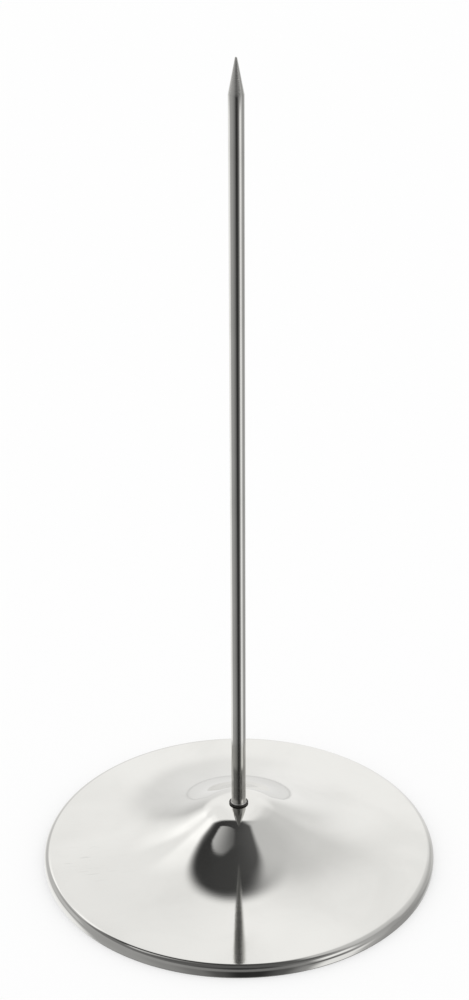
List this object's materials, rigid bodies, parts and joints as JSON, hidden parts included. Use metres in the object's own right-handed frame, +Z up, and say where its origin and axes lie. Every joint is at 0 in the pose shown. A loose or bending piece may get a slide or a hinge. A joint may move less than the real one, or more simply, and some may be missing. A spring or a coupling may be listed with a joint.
{
  "type": "receipt spike",
  "caption": "Pointed steel wire standing upright on a round pressed base with a bell-shaped centre, on which paper receipts are spiked at a counter.",
  "frame": {"origin": "centre of the base on the table that it stands on", "axes": "+Z up along the spike; the part is round about Z, so X and Y are alike"},
  "size_m": [0.095, 0.095, 0.2],
  "materials": {
    "polished_base": "mirror-polished stainless steel sheet",
    "polished_wire": "polished stainless steel wire with a ground point",
    "plain_fastener": "plain bright steel"
  },
  "bodies": {
    "root": {"base_dish": "polished_base", "spike": "polished_wire", "washer": "plain_fastener", "nut": "plain_fastener"}
  },
  "joints": []
}
